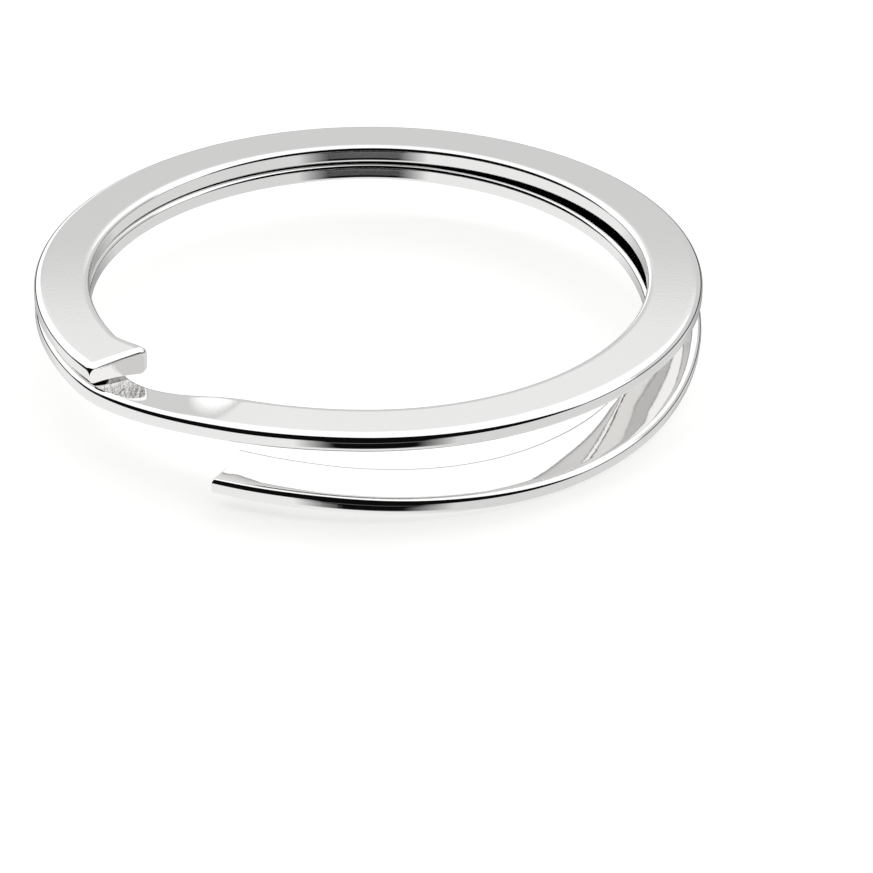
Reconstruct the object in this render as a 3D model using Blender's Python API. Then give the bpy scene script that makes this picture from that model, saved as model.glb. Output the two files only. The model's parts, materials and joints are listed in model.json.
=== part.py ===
"""Split key ring: one flat spring-steel wire, wound through nearly two turns.

The wire starts at a cut end on top, runs once round at the upper level, steps down through a
crossover and runs round again underneath, to a second cut end. The lower turn is sprung open,
as it is while something thick is being threaded between the turns.

The wire flexes instead of hinging. Each part that flexes is a chain of short rigid links, and
each hinge between two links has the wire's own bend and twist there. The ring is laid out
closed, with its turns together, and the hinges then swing the lower turn open.

Places along the wire are its travel in degrees from the upper cut end, running clockwise as
seen from above. A bearing is the usual angle from +X, anticlockwise.
"""

import math

import bmesh
import bpy
from mathutils import Matrix, Vector

# The wire
OUTER_RADIUS = 0.016
WIRE_WIDTH = 0.00265
WIRE_THICKNESS = 0.0009
EDGE_ROUNDING = 0.0003
ROUNDING_SEGMENTS = 3
TURN_GAP = 0.00008  # air between the closed turns
LINK_GAP = 0.0001  # air between two links of the chain
STATION_STEP = 5.5  # the longest facet along the wire, in degrees

CENTRE_RADIUS = OUTER_RADIUS - WIRE_WIDTH / 2
PITCH = WIRE_THICKNESS + TURN_GAP
FULL_TURN = 360.0
SHARP_ANGLE = 40.0
LINK_GAP_ANGLE = math.degrees(LINK_GAP / CENTRE_RADIUS)

# The two cut ends
UPPER_END_BEARING = 216.5
LOWER_END_TRAVEL = 693.5

# The crossover: a step down that quickens towards its end, where the wire also rolls its inner
# edge down and is pinched a little narrower
STEP_START = 308.5
STEP_LENGTH = 52.0
STEP_POWER = 1.8
STEP_SOFTNESS = 0.0001
CROSSOVER_END = 362.0
ROLL_TRAVEL = 354.5
ROLL_REACH = 24.0
ROLL_ANGLE = 9.0
PINCH = 0.0005

# The sprung leaf: the lower turn's free run, with its bend and twist in radians for each radian
# of travel. Both are a mean and a wave that comes round three times in a turn.
LEAF_START = 478.5
LEAF_LINKS = 10
WAVES_PER_TURN = 3
BEND_MEAN, BEND_WAVE = 0.042, 0.060
TWIST_MEAN, TWIST_WAVE = -0.029, -0.271

# The pried leaf: the upper turn's free run, lifted at the cut end like a curved cantilever
PRY_REACH = 176.5
PRY_LINKS = 6
PRY_LIFT = 0.003
TWIST_TO_BEND = 0.83  # how much more easily the wire twists than it bends

# The stretches between the two leaves
UPPER_TURN = (
    "upper_turn_back_right",
    "upper_turn_right",
    "upper_turn_front_right",
    "upper_turn_front",
)
CROSSOVER = tuple(f"crossover_{number}" for number in range(1, 7))
LOWER_TURN = (
    "lower_turn_front_left",
    "lower_turn_left",
    "lower_turn_back_left",
    "lower_turn_back",
)

NICKEL = (0.80, 0.80, 0.79)
NICKEL_ROUGHNESS = 0.12


def clear_scene():
    for found in list(bpy.data.objects):
        bpy.data.objects.remove(found, do_unlink=True)


def bearing(travel):
    return math.radians(UPPER_END_BEARING - travel)


def smooth_min(a, b, softness):
    share = min(max(0.5 + 0.5 * (b - a) / softness, 0.0), 1.0)
    return b + (a - b) * share - softness * share * (1.0 - share)


def step_down(travel):
    """How far the crossover has brought the wire down at this travel."""
    run = max(travel - STEP_START, 0.0) / STEP_LENGTH
    return smooth_min(PITCH * run**STEP_POWER, PITCH, STEP_SOFTNESS) if run else 0.0


def crossover_share(travel):
    """0 outside the rolled and pinched stretch, 1 in its middle."""
    away = min(abs(travel - ROLL_TRAVEL) / ROLL_REACH, 1.0)
    return math.cos(away * math.pi / 2) ** 2


def station(travel):
    """The place of the wire's section there with the ring closed: X outwards, Z up."""
    # the second time round, the wire also lies under the crossover's own slope
    depth = step_down(travel) + step_down(travel - FULL_TURN)
    share = crossover_share(travel)
    hold = Vector((WIRE_WIDTH / 2, 0.0, WIRE_THICKNESS / 2))  # the outer top edge stays in place
    narrow = Matrix.Scale(1.0 - share * PINCH / WIRE_WIDTH, 4, Vector((1.0, 0.0, 0.0)))
    roll = Matrix.Rotation(math.radians(-ROLL_ANGLE) * share, 4, "Y")
    return (
        Matrix.Rotation(bearing(travel), 4, "Z")
        @ Matrix.Translation((CENTRE_RADIUS, 0.0, -WIRE_THICKNESS / 2 - depth))
        @ Matrix.Translation(hold)
        @ roll
        @ narrow
        @ Matrix.Translation(-hold)
    )


def wire_mesh(name, start, end, pivot):
    """A closed length of wire between two travels, with pivot as its origin."""
    count = math.ceil((end - start) / STATION_STEP)
    travels = [start + (end - start) * i / count for i in range(count + 1)]
    bm = bmesh.new()
    half_width, half_height = WIRE_WIDTH / 2, WIRE_THICKNESS / 2
    corners = [(-1, -1), (1, -1), (1, 1), (-1, 1)]
    rim = [bm.verts.new((x * half_width, 0.0, z * half_height)) for x, z in corners]
    bm.faces.new(rim)
    bmesh.ops.bevel(
        bm,
        geom=rim,
        offset=EDGE_ROUNDING,
        offset_type="OFFSET",
        segments=ROUNDING_SEGMENTS,
        profile=0.5,
        affect="VERTICES",
        material=-1,
    )
    face = next(iter(bm.faces))
    here = station(travels[0])
    bmesh.ops.transform(bm, matrix=here, verts=face.verts)
    first_face = face
    for travel in travels[1:]:
        there = station(travel)
        grown = bmesh.ops.extrude_face_region(bm, geom=[face])["geom"]
        if face is not first_face:
            bmesh.ops.delete(bm, geom=[face], context="FACES_ONLY")
        face = next(part for part in grown if isinstance(part, bmesh.types.BMFace))
        bmesh.ops.transform(bm, matrix=there @ here.inverted(), verts=face.verts)
        here = there
    bmesh.ops.translate(bm, vec=-pivot, verts=bm.verts)
    bmesh.ops.recalc_face_normals(bm, faces=bm.faces)
    mesh = bpy.data.meshes.new(name)
    bm.to_mesh(mesh)
    bm.free()
    mesh.shade_smooth()
    mesh.set_sharp_from_angle(angle=math.radians(SHARP_ANGLE))
    return mesh


def nickel(name):
    material = bpy.data.materials.new(name + "_nickel")
    material.use_nodes = True
    shader = material.node_tree.nodes["Principled BSDF"]
    shader.inputs["Base Color"].default_value = (*NICKEL, 1.0)
    shader.inputs["Metallic"].default_value = 1.0
    shader.inputs["Roughness"].default_value = NICKEL_ROUGHNESS
    return material


def add_wire(name, start, end, parent, pivot=Vector(), pose=Matrix.Identity(4)):
    """One node: the wire between two travels, swung from its closed place by pose."""
    mesh = wire_mesh(name, start, end, pivot)
    mesh.materials.append(nickel(name))
    piece = bpy.data.objects.new(name, mesh)
    bpy.context.scene.collection.objects.link(piece)
    attach(piece, parent, pose @ Matrix.Translation(pivot))


def add_empty(name, place, parent):
    empty = bpy.data.objects.new(name, None)
    empty.empty_display_type = "SINGLE_ARROW"
    empty.empty_display_size = WIRE_WIDTH
    bpy.context.scene.collection.objects.link(empty)
    attach(empty, parent, place)
    return empty


def attach(child, parent, place):
    """Puts child at place in the ring's frame, under a parent that is already in place."""
    if parent:
        bpy.context.view_layer.update()
        child.parent = parent
        child.matrix_parent_inverse = parent.matrix_world.inverted()
    child.matrix_basis = place


def pointing(axis):
    """A turn that brings +Z onto axis."""
    return axis.to_track_quat("Z", "Y").to_matrix().to_4x4()


def hinge_lines(travel):
    """The wire's centre there, and its directions outwards and anticlockwise, ring closed."""
    angle = bearing(travel)
    outwards = Vector((math.cos(angle), math.sin(angle), 0.0))
    onwards = Vector((-math.sin(angle), math.cos(angle), 0.0))
    centre = station(travel).translation
    return centre, outwards, onwards


def leaf_hinges():
    """The leaf's hinges from its root on: (travel, closed centre, turn vector when sprung)."""
    step = (LOWER_END_TRAVEL - LEAF_START) / LEAF_LINKS
    hinges = []
    for i in range(LEAF_LINKS):
        first, last = LEAF_START + i * step, LEAF_START + (i + 1) * step
        span = math.radians(step)
        swing = math.sin(WAVES_PER_TURN * bearing(first)) - math.sin(WAVES_PER_TURN * bearing(last))
        wave = swing / WAVES_PER_TURN
        travel = (first + last) / 2
        centre, outwards, onwards = hinge_lines(travel)
        bend = BEND_MEAN * span + BEND_WAVE * wave
        twist = TWIST_MEAN * span + TWIST_WAVE * wave
        hinges.append((travel, centre, bend * outwards - twist * onwards))
    return hinges


def pry_hinges():
    """The pried leaf's hinges from its root on: (travel, centre, turn vector at full lift)."""
    step = PRY_REACH / PRY_LINKS
    hinges, lift = [], 0.0
    for i in range(PRY_LINKS):
        travel = PRY_REACH - (i + 0.5) * step
        centre, outwards, onwards = hinge_lines(travel)
        lever = math.radians(travel)
        bend = math.sin(lever)
        twist = TWIST_TO_BEND * (1.0 - math.cos(lever))
        hinges.append((travel, centre, bend * outwards + twist * onwards))
        lift += CENTRE_RADIUS * (bend * math.sin(lever) + twist * (1.0 - math.cos(lever)))
    return [(travel, centre, turn * (PRY_LIFT / lift)) for travel, centre, turn in hinges]


def build_between(names, start, end, root):
    step = (end - start) / len(names)
    for i, name in enumerate(names):
        first, last = start + i * step, start + (i + 1) * step
        add_wire(name, first + LINK_GAP_ANGLE / 2, last - LINK_GAP_ANGLE / 2, root)


def build_pried_leaf(root):
    """The upper turn's free run, closed: each link reaches from its hinge towards the end."""
    parent = root
    hinges = pry_hinges()
    for i, (travel, centre, turn) in enumerate(hinges):
        at_end = i + 1 == len(hinges)
        end = 0.0 if at_end else hinges[i + 1][0] + LINK_GAP_ANGLE / 2
        name = "upper_end" if at_end else f"pry_link_{i + 1}"
        parent = add_empty(name + "_hinge", Matrix.Translation(centre) @ pointing(turn), parent)
        add_wire(name, end, travel - LINK_GAP_ANGLE / 2, parent, centre)


def build_sprung_leaf(root):
    """The lower turn's free run, swung open: each link carries on from the one before it."""
    parent, pose = root, Matrix.Identity(4)
    hinges = leaf_hinges()
    for i, (travel, centre, turn) in enumerate(hinges):
        at_end = i + 1 == len(hinges)
        end = LOWER_END_TRAVEL if at_end else hinges[i + 1][0] - LINK_GAP_ANGLE / 2
        name = "lower_end" if at_end else f"leaf_link_{i + 1}"
        place = pose @ Matrix.Translation(centre) @ pointing(turn)
        parent = add_empty(name + "_hinge", place, parent)
        about = Matrix.Translation(centre)
        pose = pose @ about @ Matrix.Rotation(turn.length, 4, turn) @ about.inverted()
        add_wire(name, travel + LINK_GAP_ANGLE / 2, end, parent, centre, pose)


def stand_on_floor(root):
    """Raises the ring until its lowest point is at height 0."""
    bpy.context.view_layer.update()
    pieces = [piece for piece in bpy.data.objects if piece.type == "MESH"]
    lowest = min((piece.matrix_world @ v.co).z for piece in pieces for v in piece.data.vertices)
    root.location.z = -lowest


def main():
    clear_scene()
    root = add_empty("ring", Matrix.Identity(4), None)
    pry_root, leaf_root = pry_hinges()[0][0], leaf_hinges()[0][0]
    build_pried_leaf(root)
    build_between(UPPER_TURN, pry_root, STEP_START, root)
    build_between(CROSSOVER, STEP_START, CROSSOVER_END, root)
    build_between(LOWER_TURN, CROSSOVER_END, leaf_root, root)
    build_sprung_leaf(root)
    stand_on_floor(root)


if __name__ == "__main__":
    main()
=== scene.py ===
"""Looks of the split key ring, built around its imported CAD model.

One flat, polished and nickel-plated wire makes nearly two turns. Each piece here is a stretch of
that wire with its real rounded section. A stretch that flexes crosses one hinge of the CAD model,
so that the wire bends smoothly where the CAD model has rigid links.

Travel is the angle in degrees from the upper cut end, running clockwise as seen from above.
"""

import json
import logging
import math
from collections.abc import Iterator
from dataclasses import dataclass, field
from enum import Enum

import bmesh
import bpy
from mathutils import Matrix, Vector

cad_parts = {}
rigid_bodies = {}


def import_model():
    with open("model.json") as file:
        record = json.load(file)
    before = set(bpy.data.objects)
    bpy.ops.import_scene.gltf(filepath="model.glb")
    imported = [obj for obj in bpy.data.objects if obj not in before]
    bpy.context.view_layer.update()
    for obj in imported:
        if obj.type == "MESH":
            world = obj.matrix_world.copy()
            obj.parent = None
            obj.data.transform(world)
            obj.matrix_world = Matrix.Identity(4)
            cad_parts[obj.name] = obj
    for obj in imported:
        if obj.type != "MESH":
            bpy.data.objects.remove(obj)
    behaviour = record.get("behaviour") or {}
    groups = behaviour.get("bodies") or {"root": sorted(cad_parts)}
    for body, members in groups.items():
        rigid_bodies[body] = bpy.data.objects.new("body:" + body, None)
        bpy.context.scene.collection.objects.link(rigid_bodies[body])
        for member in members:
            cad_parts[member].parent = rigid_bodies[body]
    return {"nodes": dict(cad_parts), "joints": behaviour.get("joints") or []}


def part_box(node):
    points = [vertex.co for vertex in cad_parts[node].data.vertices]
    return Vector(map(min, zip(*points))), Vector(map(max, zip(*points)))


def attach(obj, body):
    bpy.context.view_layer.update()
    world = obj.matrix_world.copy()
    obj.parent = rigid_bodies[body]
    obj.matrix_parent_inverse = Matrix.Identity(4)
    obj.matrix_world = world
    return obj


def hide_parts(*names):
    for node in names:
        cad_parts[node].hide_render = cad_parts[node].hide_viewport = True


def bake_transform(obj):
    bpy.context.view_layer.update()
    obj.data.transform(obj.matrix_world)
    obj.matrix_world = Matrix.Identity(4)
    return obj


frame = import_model()

log = logging.getLogger("key_ring")
ROOT_BODY = "ring"
FULL_TURN = 360.0
NO_TURN = 1e-9
QUAD_CORNERS = 4
CUT_MATERIAL = 1


class Level(Enum):
    """Which stretch of the wire a piece belongs to."""

    UPPER = "upper_turn"
    CROSSOVER = "crossover"
    LOWER = "lower_turn"
    LEAF = "leaf_run"
    PRIED = "pried_run"


class Cut(Enum):
    """The two ends at which the wire was cut."""

    UPPER = "upper_end"
    LOWER = "lower_end"


def nodes_of(prefix: str) -> tuple[str, ...]:
    """The CAD model's nodes whose names start with a prefix."""
    return tuple(name for name in frame["nodes"] if name.startswith(prefix))


def smooth_step(share: float) -> float:
    """An even ease from 0 to 1."""
    share = min(max(share, 0.0), 1.0)
    return share * share * (3.0 - 2.0 * share)


def smooth_min(a: float, b: float, softness: float) -> float:
    """The smaller of two values, with the corner between them rounded.

    Args:
        a: The first value.
        b: The second value.
        softness: How far apart the values are where the rounding starts.

    Returns:
        The rounded minimum.
    """
    share = min(max(0.5 + 0.5 * (b - a) / softness, 0.0), 1.0)
    return b + (a - b) * share - softness * share * (1.0 - share)


def order_faces(mesh: bmesh.types.BMesh) -> None:
    """Puts the faces in the order of their corners, because spin's own order changes each run.

    Args:
        mesh: The mesh to put in order.
    """
    mesh.verts.index_update()
    count = len(mesh.verts)

    def rank(face: bmesh.types.BMFace) -> int:
        """A face's place: by its lowest corner, and then by its highest."""
        corners = [vert.index for vert in face.verts]
        return min(corners) * count + max(corners)

    mesh.faces.sort(key=rank)


@dataclass(frozen=True)
class Section:
    """The wire's cross-section: flat faces between rounded edges.

    Segments is the number of steps round a corner, and cuts how often a flat face is divided.
    """

    width: float = 0.00265
    thickness: float = 0.0009
    outer_rounding: float = 0.00033
    inner_rounding: float = 0.00024
    segments: int = 10
    cuts: int = 12

    def outline(self, mesh: bmesh.types.BMesh, radius: float, height: float) -> None:
        """Adds the section's outline to a mesh, in the XZ plane.

        Args:
            mesh: The mesh that gets the outline.
            radius: The wire's middle, along X.
            height: The wire's middle, along Z.
        """
        middle = Vector((radius, 0.0, height))
        across, up = Vector((self.width / 2, 0.0, 0.0)), Vector((0.0, 0.0, self.thickness / 2))
        inner = [mesh.verts.new(middle - across + up), mesh.verts.new(middle - across - up)]
        outer = [mesh.verts.new(middle + across - up), mesh.verts.new(middle + across + up)]
        mesh.faces.new(inner + outer)
        for corners, rounding in ((inner, self.inner_rounding), (outer, self.outer_rounding)):
            bmesh.ops.bevel(
                mesh,
                geom=corners,
                offset=rounding,
                offset_type="OFFSET",
                segments=self.segments,
                profile=0.5,
                affect="VERTICES",
                material=-1,
            )
        bmesh.ops.delete(mesh, geom=mesh.faces[:], context="FACES_ONLY")
        wide = [edge for edge in mesh.edges if edge.calc_length() > self.width / 2]
        side = self.thickness / 5
        narrow = [edge for edge in mesh.edges if side < edge.calc_length() < self.width / 2]
        bmesh.ops.subdivide_edges(mesh, edges=wide, cuts=self.cuts)
        bmesh.ops.subdivide_edges(mesh, edges=narrow, cuts=self.cuts // 3)


@dataclass(frozen=True)
class Crossover:
    """The joggle where the wire steps down and rolls its inner edge down, a little pinched.

    Starts, ends, travels and reaches are places and distances along the wire in degrees. Air is the
    gap between two turns that lie on each other.
    """

    start: float = 308.5
    length: float = 52.0
    end: float = 362.0
    power: float = 1.8
    softness: float = 0.0001
    air: float = 0.00008
    roll_travel: float = 354.5
    roll_reach: float = 24.0
    roll_degrees: float = 9.0
    lean_travel: float = 338.0
    lean_reach: float = 30.0
    lean_degrees: float = 1.8
    pinch: float = 0.0005

    def depth(self, travel: float, pitch: float) -> float:
        """How far the wire lies under its first turn's level.

        Args:
            travel: The place along the wire, in degrees.
            pitch: The height between two turns.

        Returns:
            The depth in metres.
        """
        depth = 0.0
        for lap in (travel, travel - FULL_TURN):
            run = max(lap - self.start, 0.0) / self.length
            if run:
                depth += smooth_min(pitch * run**self.power, pitch, self.softness)
        return depth

    def share(self, travel: float) -> float:
        """How far the wire is rolled and pinched there, from 0 to 1."""
        away = min(abs(travel - self.roll_travel) / self.roll_reach, 1.0)
        return math.cos(away * math.pi / 2) ** 2

    def roll(self, travel: float) -> float:
        """The wire's roll: slightly outwards at first, and then well inwards.

        Args:
            travel: The place along the wire, in degrees.

        Returns:
            The roll in degrees, outwards if positive.
        """
        away = min(abs(travel - self.lean_travel) / self.lean_reach, 1.0)
        lean = self.lean_degrees * math.cos(away * math.pi / 2) ** 2
        return lean - self.roll_degrees * self.share(travel)


@dataclass(frozen=True)
class Hinge:
    """One joint of the CAD model, brought back to where it is with the ring closed."""

    parent: str
    child: str
    travel: float
    pivot: Vector
    turn: Vector


@dataclass(frozen=True)
class Span:
    """A stretch of wire that one piece is made of."""

    name: str
    level: Level
    start: float
    end: float
    replaces: tuple[str, ...]
    hinge: Hinge | None = None
    cut: Cut | None = None


@dataclass
class WirePath:
    """The wire's middle line and the places of its sections, read from the CAD model."""

    section: Section = field(default_factory=Section)
    crossover: Crossover = field(default_factory=Crossover)
    end_bearing: float = 216.5
    last_travel: float = 693.5
    outer_radius: float = field(init=False)
    top: float = field(init=False)

    def __post_init__(self) -> None:
        """Takes the ring's radius and height from the CAD model's fixed upper turn."""
        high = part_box("upper_turn_right")[1]
        self.outer_radius, self.top = high.x, high.z

    @property
    def centre_radius(self) -> float:
        """The radius of the wire's middle line."""
        return self.outer_radius - self.section.width / 2

    @property
    def pitch(self) -> float:
        """The height between two turns that lie on each other."""
        return self.section.thickness + self.crossover.air

    def bearing(self, travel: float) -> float:
        """The angle from +X in radians, anticlockwise, at a travel."""
        return math.radians(self.end_bearing - travel)

    def travel_of(self, place: Vector, near: float) -> float:
        """The travel of a point on the closed ring.

        Args:
            place: The point.
            near: A travel within half a turn of the answer, to pick the lap.

        Returns:
            The travel in degrees.
        """
        travel = self.end_bearing - math.degrees(math.atan2(place.y, place.x))
        return travel + FULL_TURN * round((near - travel) / FULL_TURN)

    def station(self, travel: float) -> Matrix:
        """The place of the wire's section with the ring closed: X outwards and Z up.

        The section rolls about its outer upper edge, which keeps its place as it narrows.

        Args:
            travel: The place along the wire, in degrees.

        Returns:
            The place as a matrix.
        """
        width, thickness = self.section.width, self.section.thickness
        share = self.crossover.share(travel)
        hold = Vector((width / 2, 0.0, thickness / 2))
        kept = 1.0 - share * self.crossover.pinch / width
        narrow = Matrix.Scale(kept, 4, Vector((1.0, 0.0, 0.0)))
        roll = Matrix.Rotation(math.radians(self.crossover.roll(travel)), 4, "Y")
        middle = self.top - thickness / 2 - self.crossover.depth(travel, self.pitch)
        return (
            Matrix.Rotation(self.bearing(travel), 4, "Z")
            @ Matrix.Translation((self.centre_radius, 0.0, middle))
            @ Matrix.Translation(hold)
            @ roll
            @ narrow
            @ Matrix.Translation(-hold)
        )


def about(pivot: Vector, turn: Vector, share: float) -> Matrix:
    """A share of a turn about a pivot.

    Args:
        pivot: A point on the axis.
        turn: The axis, as long as the angle in radians.
        share: How much of the turn is made.

    Returns:
        The turn as a matrix.
    """
    if turn.length < NO_TURN:
        return Matrix.Identity(4)
    spin = Matrix.Rotation(turn.length * share, 4, turn.normalized())
    return Matrix.Translation(pivot) @ spin @ Matrix.Translation(-pivot)


@dataclass
class FlexChain:
    """The hinges of one run that flexes, from its root to its cut end."""

    path: WirePath
    prefix: str
    first_travel: float
    hinges: list[Hinge] = field(init=False, default_factory=list)
    poses: list[Matrix] = field(init=False, default_factory=list)

    def read(self, joints: list[dict]) -> None:
        """Fills the chain from the CAD model's joints.

        Args:
            joints: All the joints, in order from the root of each run.
        """
        pose, near = Matrix.Identity(4), self.first_travel
        for joint in joints:
            if not joint["name"].startswith(self.prefix):
                continue
            back = pose.inverted()
            pivot = back @ Vector(joint["pos_m"])
            axis = (back.to_3x3() @ Vector(joint["axis"])).normalized()
            sprung = math.radians(-joint["range_deg"][0])
            near = self.path.travel_of(pivot, near)
            hinge = Hinge(joint["parent"], joint["child"], near, pivot, axis * sprung)
            self.hinges.append(hinge)
            self.poses.append(pose.copy())
            pose = pose @ about(pivot, hinge.turn, 1.0)

    @property
    def step(self) -> float:
        """The travel from one hinge to the next, negative in a chain that runs the other way."""
        return self.hinges[1].travel - self.hinges[0].travel

    def pose(self, hinge: Hinge, travel: float) -> Matrix:
        """How the wire near a hinge is swung from its closed place.

        Args:
            hinge: The hinge whose span the wire is in.
            travel: The place along the wire, in degrees.

        Returns:
            The swing, with the hinge's own bend spread evenly over its span.
        """
        before = self.poses[self.hinges.index(hinge)]
        share = (travel - hinge.travel) / self.step + 0.5
        return before @ about(hinge.pivot, hinge.turn, min(max(share, 0.0), 1.0))


@dataclass(frozen=True)
class EndShape:
    """How a shear left a cut end: edges rolled over, and the metal dragged past its outline.

    Attributes:
        reach: How far from the cut the metal is dragged.
        flare: How far the inner corner is dragged inwards.
        droop: How far the inner corner is dragged down.
        lean: How far the cut slants back at the inner edge.
        hollow: How deep the cut face is hollowed in its middle.
        roll: How far the upper and inner edges are rolled over.
    """

    reach: float
    flare: float
    droop: float
    lean: float
    hollow: float
    roll: float

    def pressed(self, local: Vector, away: float, section: Section) -> Vector:
        """Where the shear moved a point of the wire to.

        Args:
            local: The point, with Y as how far the cut moves it back along the wire.
            away: Its distance from the cut.
            section: The wire's section.

        Returns:
            The moved point.
        """
        near = smooth_step(1.0 - away / self.reach)
        edge = min(max(1.0 - away / self.roll, 0.0), 1.0)
        rolled = self.roll * (1.0 - math.sqrt(1.0 - edge**2))
        inwards = min(max(0.5 - local.x / section.width, 0.0), 1.0)
        under = min(max(0.5 - local.z / section.thickness, 0.0), 1.0)
        moved = local.copy()
        moved.x += rolled * inwards**2 - self.flare * near * inwards**2
        moved.z -= rolled * (1.0 - under) + self.droop * near * inwards**2 * under
        moved.y = near * (self.lean * inwards + self.hollow * (1.0 - (2.0 * inwards - 1.0) ** 2))
        return moved


@dataclass
class RingWire:
    """The whole wire, as the pieces that its stretches are made of."""

    path: WirePath
    leaf: FlexChain
    pried: FlexChain
    station_step: float = 0.5
    fewest_steps: int = 4
    guard: float = 0.04
    crowding: float = 2.2
    upper_cut: EndShape = EndShape(
        reach=0.0023,
        flare=0.00064,
        droop=0.00042,
        lean=0.0,
        hollow=0.00005,
        roll=0.00026,
    )
    lower_cut: EndShape = EndShape(
        reach=0.0009,
        flare=0.0,
        droop=0.0,
        lean=0.00010,
        hollow=0.00016,
        roll=0.00004,
    )

    def spans(self) -> Iterator[Span]:
        """All the stretches, from the upper cut end to the lower one.

        Yields:
            Each stretch, with the hinge that it crosses or none.
        """
        pried, leaf = self.pried.hinges, self.leaf.hinges
        half, level = abs(self.pried.step) / 2, Level.PRIED
        for number, hinge in reversed(list(enumerate(pried, 1))):
            cut = Cut.UPPER if hinge is pried[-1] else None
            start = 0.0 if cut else hinge.travel - half
            name = f"{level.value}_{number}"
            yield Span(name, level, start, hinge.travel + half, (hinge.child,), hinge, cut)
        over = self.path.crossover
        bounds = (pried[0].travel + half, over.start, over.end, leaf[0].travel - self.leaf.step / 2)
        levels = (Level.UPPER, Level.CROSSOVER, Level.LOWER)
        for level, start, end in zip(levels, bounds, bounds[1:]):
            yield Span(f"{level.value}_wire", level, start, end, nodes_of(level.value))
        for number, hinge in enumerate(leaf, 1):
            start = hinge.travel - self.leaf.step / 2
            cut = Cut.LOWER if hinge is leaf[-1] else None
            end = self.path.last_travel if cut else start + self.leaf.step
            name = f"{Level.LEAF.value}_{number}"
            yield Span(name, Level.LEAF, start, end, (hinge.child,), hinge, cut)

    def place(self, span: Span, travel: float) -> Matrix:
        """Where the wire's section is at rest.

        Args:
            span: The stretch that holds the place.
            travel: The place along the wire, in degrees.

        Returns:
            The section's place as a matrix.
        """
        station = self.path.station(travel)
        if span.level is Level.LEAF:
            return self.leaf.pose(span.hinge, travel) @ station
        return station

    def mesh(self, span: Span) -> bpy.types.Mesh:
        """Spins the section along a span, bends it into place and closes its ends.

        Args:
            span: The stretch to make.

        Returns:
            The finished mesh, in the ring's own frame.
        """
        bm = bmesh.new()
        section, length = self.path.section, span.end - span.start
        steps = max(round(length / self.station_step), self.fewest_steps)
        section.outline(bm, self.path.centre_radius, 0.0)
        bmesh.ops.spin(
            bm,
            geom=bm.verts[:] + bm.edges[:],
            cent=(0.0, 0.0, 0.0),
            axis=(0.0, 0.0, -1.0),
            angle=math.radians(length),
            steps=steps,
        )
        travels = [self.travel_at(span, row, steps) for row in range(steps + 1)]
        places = [self.place(span, travel) for travel in travels]
        for vert in bm.verts:
            spun = -math.degrees(math.atan2(vert.co.y, vert.co.x)) % FULL_TURN
            row = round(spun / length * steps)
            radius = math.hypot(vert.co.x, vert.co.y)
            local = Vector((radius - self.path.centre_radius, 0.0, vert.co.z))
            vert.co = places[row] @ self.sheared(span, travels[row], local)
        rims = [edge for edge in bm.edges if edge.is_boundary]
        bmesh.ops.holes_fill(bm, edges=rims, sides=0)
        bmesh.ops.recalc_face_normals(bm, faces=bm.faces)
        order_faces(bm)
        caps = [face for face in bm.faces if len(face.verts) > QUAD_CORNERS]
        for edge in {edge for cap in caps for edge in cap.edges}:
            edge.smooth = False
        for face in bm.faces:
            face.smooth = True
        if span.cut:
            self.mark_cut(span, caps)
        made = bpy.data.meshes.new(span.name)
        bm.to_mesh(made)
        bm.free()
        return made

    def travel_at(self, span: Span, row: int, steps: int) -> float:
        """The travel of a row of points. Rows crowd at a cut, and one guards each joined end.

        Args:
            span: The stretch that the row is in.
            row: The row's number, from 0 at the stretch's start.
            steps: The number of steps from its start to its end.

        Returns:
            The travel in degrees.
        """
        if row == 1 and span.cut is not Cut.UPPER:
            return span.start + self.guard
        if row == steps - 1 and span.cut is not Cut.LOWER:
            return span.end - self.guard
        share = row / steps
        if span.cut is Cut.UPPER:
            share = share**self.crowding
        elif span.cut is Cut.LOWER:
            share = 1.0 - (1.0 - share) ** self.crowding
        return span.start + (span.end - span.start) * share

    def sheared(self, span: Span, travel: float, local: Vector) -> Vector:
        """Shapes the wire near a cut end.

        Args:
            span: The stretch that the point is in.
            travel: The point's travel.
            local: The point in its section's own frame.

        Returns:
            The point, moved along and across the wire.
        """
        if not span.cut:
            return local
        upper = span.cut is Cut.UPPER
        shape, end = (self.upper_cut, span.start) if upper else (self.lower_cut, span.end)
        away = math.radians(abs(travel - end)) * self.path.centre_radius
        moved = shape.pressed(local, away, self.path.section)
        moved.y *= -1.0 if upper else 1.0
        return moved

    def mark_cut(self, span: Span, caps: list[bmesh.types.BMFace]) -> None:
        """Gives the cut face its own finish.

        Args:
            span: The stretch that ends at the cut.
            caps: The faces that close its two ends.
        """
        tip = span.start if span.cut is Cut.UPPER else span.end
        at = self.place(span, tip).translation
        nearest = min(caps, key=lambda cap: (cap.calc_center_median() - at).length)
        nearest.material_index = CUT_MATERIAL


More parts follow.
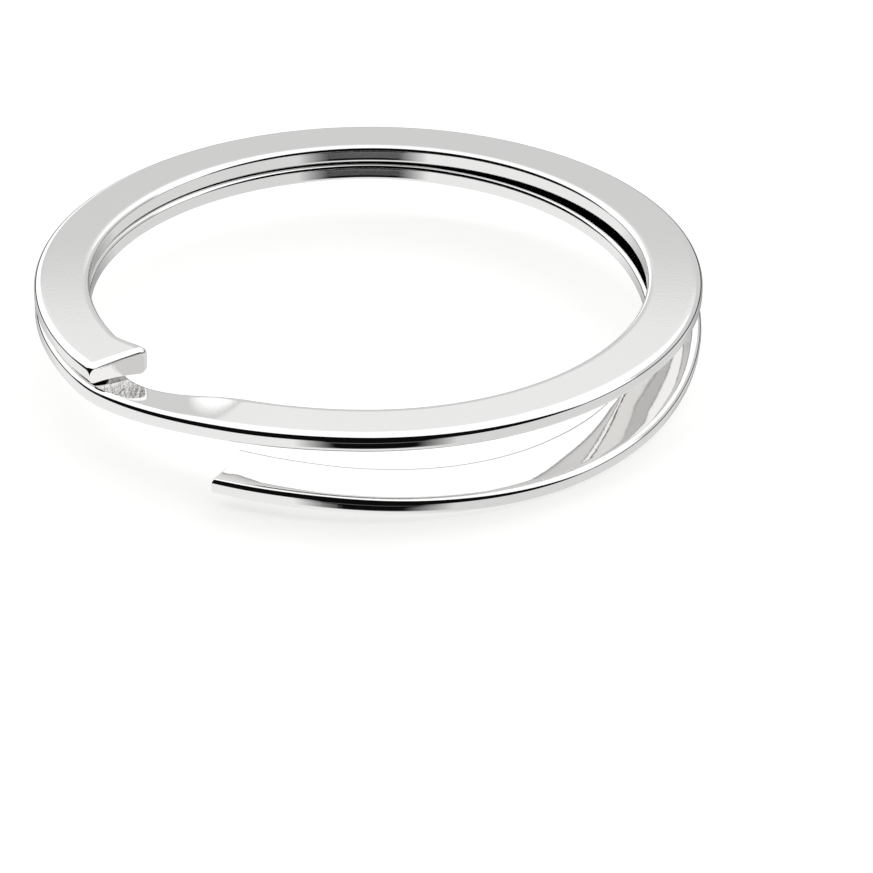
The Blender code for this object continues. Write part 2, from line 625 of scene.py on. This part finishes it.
class Socket:
    """A shader value that can be written in Python's own arithmetic."""

    def __init__(self, graph: "Graph", link: bpy.types.NodeSocket) -> None:
        """Keeps the graph and the node socket behind the value."""
        self.graph, self.link = graph, link

    def _math(self, operation: str, *values: "Socket | float") -> "Socket":
        """Adds one Math node."""
        return self.graph.node("ShaderNodeMath", {"operation": operation}, values)[0]

    def __add__(self, other: "Socket | float") -> "Socket":
        """The sum."""
        return self._math("ADD", self, other)

    def __radd__(self, other: float) -> "Socket":
        """The sum, the other way round."""
        return self._math("ADD", other, self)

    def __sub__(self, other: "Socket | float") -> "Socket":
        """The difference."""
        return self._math("SUBTRACT", self, other)

    def __rsub__(self, other: float) -> "Socket":
        """The difference, the other way round."""
        return self._math("SUBTRACT", other, self)

    def __mul__(self, other: "Socket | float") -> "Socket":
        """The product."""
        return self._math("MULTIPLY", self, other)

    def __rmul__(self, other: float) -> "Socket":
        """The product, the other way round."""
        return self._math("MULTIPLY", other, self)

    def most(self, other: "Socket | float") -> "Socket":
        """The larger of this value and another."""
        return self._math("MAXIMUM", self, other)

    def size(self) -> "Socket":
        """The value without its sign."""
        return self._math("ABSOLUTE", self)

    def clamped(self) -> "Socket":
        """The value held between 0 and 1."""
        return self._math("MINIMUM", self.most(0.0), 1.0)

    def above(self, edge: "Socket | float", softness: float) -> "Socket":
        """0 where the value is under an edge and 1 where it is over it.

        Args:
            edge: The value in the middle of the change.
            softness: How wide the change is.

        Returns:
            The mask.
        """
        return ((self - edge) * (1.0 / softness) + 0.5).clamped()


@dataclass
class Graph:
    """The node tree of one material, or of the world."""

    tree: bpy.types.NodeTree
    shader: str = "Principled BSDF"

    def node(
        self,
        kind: str,
        settings: dict[str, object] | None = None,
        values: tuple = (),
        named: dict[str, object] | None = None,
    ) -> list[Socket]:
        """Adds a node.

        Args:
            kind: The node's type.
            settings: Its properties, set first.
            values: Values or links for its inputs, in order.
            named: Values or links for its inputs, by name.

        Returns:
            Its outputs.
        """
        added = self.tree.nodes.new(kind)
        for name, value in (settings or {}).items():
            setattr(added, name, value)
        pairs = list(zip(added.inputs, values))
        pairs += [(added.inputs[name], value) for name, value in (named or {}).items()]
        for slot, value in pairs:
            if isinstance(value, Socket):
                self.tree.links.new(value.link, slot)
            else:
                slot.default_value = value
        return [Socket(self, output) for output in added.outputs]

    def feed(self, name: str, value: Socket) -> None:
        """Links a value to the surface shader's input of that name."""
        self.tree.links.new(value.link, self.tree.nodes[self.shader].inputs[name])


@dataclass(frozen=True)
class Finish:
    """A metal finish: its colour, how polished it is and how fine its marks are.

    Clouds are wide soft patches in the polish, and marks the fine ones that also stand in relief.
    """

    name: str
    colour: tuple[float, float, float] = (0.90, 0.895, 0.89)
    roughness: float = 0.03
    haze: float = 0.03
    mark_haze: float = 0.02
    streak: float = 0.0000006
    cloud_scale: float = 420.0
    cloud_detail: float = 3.0
    cloud_level: float = 0.45
    mark_scale: float = 5200.0
    mark_detail: float = 4.0

    def material(self) -> bpy.types.Material:
        """Builds the finish as a material.

        Returns:
            The material, patterned on Object coordinates.
        """
        made = bpy.data.materials.new(self.name)
        made.use_nodes = True
        shader = made.node_tree.nodes["Principled BSDF"]
        shader.inputs["Base Color"].default_value = (*self.colour, 1.0)
        shader.inputs["Metallic"].default_value = 1.0
        graph = Graph(made.node_tree)
        clouds = self.noise(graph, self.cloud_scale, self.cloud_detail)
        marks = self.noise(graph, self.mark_scale, self.mark_detail)
        hazy = self.haze * (clouds - self.cloud_level).clamped() + self.mark_haze * marks
        graph.feed("Roughness", self.roughness + hazy)
        relief = {"Strength": 1.0, "Distance": self.streak, "Height": marks}
        graph.feed("Normal", graph.node("ShaderNodeBump", named=relief)[0])
        return made

    def noise(self, graph: Graph, scale: float, detail: float) -> Socket:
        """Adds a noise pattern.

        Args:
            graph: The node tree that gets it.
            scale: How many patches a metre holds.
            detail: How many finer layers it has.

        Returns:
            The noise, from 0 to 1.
        """
        place = graph.node("ShaderNodeTexCoord")[3]
        inputs = {"Vector": place, "Scale": scale, "Detail": detail}
        return graph.node("ShaderNodeTexNoise", named=inputs)[0]


@dataclass(frozen=True)
class Tent:
    """The white tent round the ring, with the flags that draw its dark edges.

    A direction has parts to the right, to the back and upwards. Heights are sines of the angle above
    the horizon, and bearings are angles from the right, anticlockwise, in degrees.
    """

    white: float = 1.2
    black: float = 0.004
    horizon_softness: float = 0.02
    backdrop: float = 0.68
    backdrop_lift: float = 0.22
    backdrop_low: float = 0.460
    backdrop_high: float = 0.476
    backdrop_top: float = 0.507
    backdrop_top_softness: float = 0.006
    backdrop_left: float = -0.14
    backdrop_left_softness: float = 0.02
    backdrop_front: float = 0.1
    backdrop_front_softness: float = 0.05
    under: float = 0.90
    under_softness: float = 0.3
    under_behind: float = 0.45
    under_behind_edge: float = 0.75
    under_right: float = 0.17
    under_right_edge: float = 0.2
    flag_low: float = -0.13
    flag_high: float = 0.05
    flag_softness: float = 0.03
    flag_bearing: float = -110.0
    flag_height: float = 0.12
    flag_slope: float = 1.8
    flag_behind: float = 0.85
    flag_behind_edge: float = 0.3
    flag_behind_softness: float = 0.1
    floor_flag_bearing: float = -88.0
    floor_flag_reach: float = 0.86
    floor_flag_softness: float = 0.12
    floor_flag_low: float = -0.72
    floor_flag_low_softness: float = 0.1
    far_low: float = -0.45
    far_low_softness: float = 0.02
    far_high: float = -0.36
    far_high_softness: float = 0.03
    far_glow: float = 0.14
    least_level: float = 0.01

    def brightness(self, x: Socket, y: Socket, z: Socket) -> Socket:
        """How bright the tent is in a direction.

        Args:
            x: The direction's part to the right.
            y: The direction's part to the back.
            z: The direction's part upwards.

        Returns:
            The brightness.
        """
        overhead = z.above(0.0, self.horizon_softness)
        light = self.roof(x, y, z) * overhead + self.ground(x, y) * (1.0 - overhead)
        lit = (1.0 - self.flag(x, y, z)) * (1.0 - self.floor_flag(x, y, z, overhead))
        return light * lit + self.black

    def roof(self, x: Socket, y: Socket, z: Socket) -> Socket:
        """The light above the horizon: white, with a greyer backdrop low at the back.

        Args:
            x: The direction's part to the right.
            y: The direction's part to the back.
            z: The direction's part upwards.

        Returns:
            The brightness.
        """
        right = (x - y * self.backdrop_left).above(0.0, self.backdrop_left_softness)
        behind = right * y.above(self.backdrop_front, self.backdrop_front_softness)
        lift = (z - self.backdrop_low) * (1.0 / (self.backdrop_high - self.backdrop_low))
        backdrop = self.backdrop + self.backdrop_lift * lift.clamped()
        shown = behind * (1.0 - z.above(self.backdrop_top, self.backdrop_top_softness))
        return backdrop * shown + self.white * (1.0 - shown)

    def ground(self, x: Socket, y: Socket) -> Socket:
        """The light below the horizon, dimmer at the back and on the right.

        Args:
            x: The direction's part to the right.
            y: The direction's part to the back.

        Returns:
            The brightness.
        """
        behind = self.under_behind * y.above(self.under_behind_edge, self.under_softness)
        right = self.under_right * x.above(self.under_right_edge, self.under_softness)
        return self.under - behind - right

    def flag(self, x: Socket, y: Socket, z: Socket) -> Socket:
        """The black flag round the horizon, which rises in front and thins at the back.

        Args:
            x: The direction's part to the right.
            y: The direction's part to the back.
            z: The direction's part upwards.

        Returns:
            How much of the light it takes away.
        """
        side = self.towards(self.flag_bearing, x, y)
        top = (side * self.flag_slope + self.flag_height).most(self.flag_high)
        band = z.above(self.flag_low, self.flag_softness)
        band = band * (1.0 - (z - top).above(0.0, self.flag_softness))
        beside = x.size() + (0.0 - y).most(0.0)
        strength = beside.above(self.flag_behind_edge, self.flag_behind_softness)
        return band * strength.most(self.flag_behind)

    def floor_flag(self, x: Socket, y: Socket, z: Socket, overhead: Socket) -> Socket:
        """The black flag on the floor in front, with a paler stripe far out on it.

        Args:
            x: The direction's part to the right.
            y: The direction's part to the back.
            z: The direction's part upwards.
            overhead: 1 where the direction is above the horizon.

        Returns:
            How much of the light it takes away.
        """
        side = self.towards(self.floor_flag_bearing, x, y).most(0.0)
        reach = (1.0 - z * z).most(self.least_level) * self.floor_flag_reach
        shape = (side * side).above(reach, self.floor_flag_softness)
        shape = shape * z.above(self.floor_flag_low, self.floor_flag_low_softness) * (1.0 - overhead)
        far = z.above(self.far_low, self.far_low_softness)
        far = far * (1.0 - z.above(self.far_high, self.far_high_softness))
        return shape * (1.0 - self.far_glow * far)

    def towards(self, bearing: float, x: Socket, y: Socket) -> Socket:
        """A direction's part towards a bearing."""
        lean = math.radians(bearing)
        return x * math.cos(lean) + y * math.sin(lean)


@dataclass
class Studio:
    """A pale floor, a soft tent of light and the camera."""

    top: float
    elevation: float = 27.74
    distance: float = 0.2033
    lens: float = 174.96495
    sensor: float = 36.0
    yaw: float = 0.907
    pitch: float = -2.248
    roll: float = 0.268
    nearest: float = 0.01
    farthest: float = 10.0
    floor_size: float = 4.0
    floor_colour: tuple[float, float, float] = (0.62, 0.62, 0.615)
    floor_glow_colour: tuple[float, float, float] = (1.0, 0.997, 0.99)
    floor_glow: float = 0.60
    tent: Tent = field(default_factory=Tent)

    def sky(self) -> None:
        """Surrounds the ring with the tent."""
        scene = bpy.context.scene
        scene.view_settings.view_transform = "Standard"
        world = bpy.data.worlds.new("studio")
        scene.world = world
        world.use_nodes = True
        graph = Graph(world.node_tree, "Background")
        towards = graph.node("ShaderNodeTexCoord")[0]
        x, y, z = graph.node("ShaderNodeSeparateXYZ", values=(towards,))
        graph.feed("Color", self.tent.brightness(x, y, z))

    def floor(self) -> None:
        """Lays the pale floor."""
        bm = bmesh.new()
        bmesh.ops.create_grid(bm, x_segments=1, y_segments=1, size=self.floor_size / 2)
        mesh = bpy.data.meshes.new("floor")
        bm.to_mesh(mesh)
        bm.free()
        floor = bpy.data.objects.new("floor", mesh)
        bpy.context.scene.collection.objects.link(floor)
        material = bpy.data.materials.new("pale_floor")
        material.use_nodes = True
        shader = material.node_tree.nodes["Principled BSDF"]
        shader.inputs["Base Color"].default_value = (*self.floor_colour, 1.0)
        shader.inputs["Specular IOR Level"].default_value = 0.0
        shader.inputs["Emission Color"].default_value = (*self.floor_glow_colour, 1.0)
        shader.inputs["Emission Strength"].default_value = self.floor_glow
        mesh.materials.append(material)
        floor.visible_glossy = False

    def camera(self) -> None:
        """Sets the camera at the height and distance of a close product view."""
        rise = math.radians(self.elevation)
        place = Vector((0.0, -self.distance * math.cos(rise), self.distance * math.sin(rise)))
        forward, right = -place.normalized(), Vector((1.0, 0.0, 0.0))
        up = right.cross(forward)
        forward += math.tan(math.radians(self.yaw)) * right + math.tan(math.radians(self.pitch)) * up
        forward.normalize()
        right = forward.cross(Vector((0.0, 0.0, 1.0))).normalized()
        up = right.cross(forward)
        lean = math.radians(self.roll)
        across = right * math.cos(lean) + up * math.sin(lean)
        up = up * math.cos(lean) - right * math.sin(lean)
        axes = Matrix((across, up, -forward)).transposed().to_4x4()
        data = bpy.data.cameras.new("camera")
        data.sensor_width, data.lens = self.sensor, self.lens
        data.clip_start, data.clip_end = self.nearest, self.farthest
        camera = bpy.data.objects.new("camera", data)
        bpy.context.scene.collection.objects.link(camera)
        camera.matrix_world = Matrix.Translation(place + Vector((0.0, 0.0, self.top))) @ axes
        bpy.context.scene.camera = camera

    def build(self) -> None:
        """Sets up the whole studio."""
        self.camera()
        self.sky()
        self.floor()


def build_ring() -> WirePath:
    """Builds every piece of the wire, and fixes the pieces that cross no hinge to the CAD model's
    ring body.

    Returns:
        The wire's path.
    """
    path = WirePath()
    leaf = FlexChain(path, prefix="leaf_", first_travel=1.5 * FULL_TURN)
    pried = FlexChain(path, prefix="pry_", first_travel=0.25 * FULL_TURN)
    for chain in (leaf, pried):
        chain.read(frame["joints"])
    wire = RingWire(path, leaf, pried)
    nickel = Finish("polished_nickel").material()
    sheared = Finish("sheared_steel", colour=(0.84, 0.83, 0.82), roughness=0.16, streak=0.000012)
    cut = sheared.material()
    for span in wire.spans():
        mesh = wire.mesh(span)
        mesh.materials.append(nickel)
        if span.cut:
            mesh.materials.append(cut)
        piece = bpy.data.objects.new(span.name, mesh)
        bpy.context.scene.collection.objects.link(piece)
        if span.hinge:
            ends = [wire.place(span, travel).translation for travel in (span.start, span.end)]
            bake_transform(piece)
        else:
            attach(piece, ROOT_BODY)
        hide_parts(*span.replaces)
        log.info("%s: travel %.1f to %.1f", span.name, span.start, span.end)
    return path


def main() -> None:
    """Builds the ring and the studio around it."""
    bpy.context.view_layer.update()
    path = build_ring()
    Studio(path.top).build()


if __name__ == "__main__":
    logging.basicConfig(level=logging.INFO, format="%(message)s")
    main()
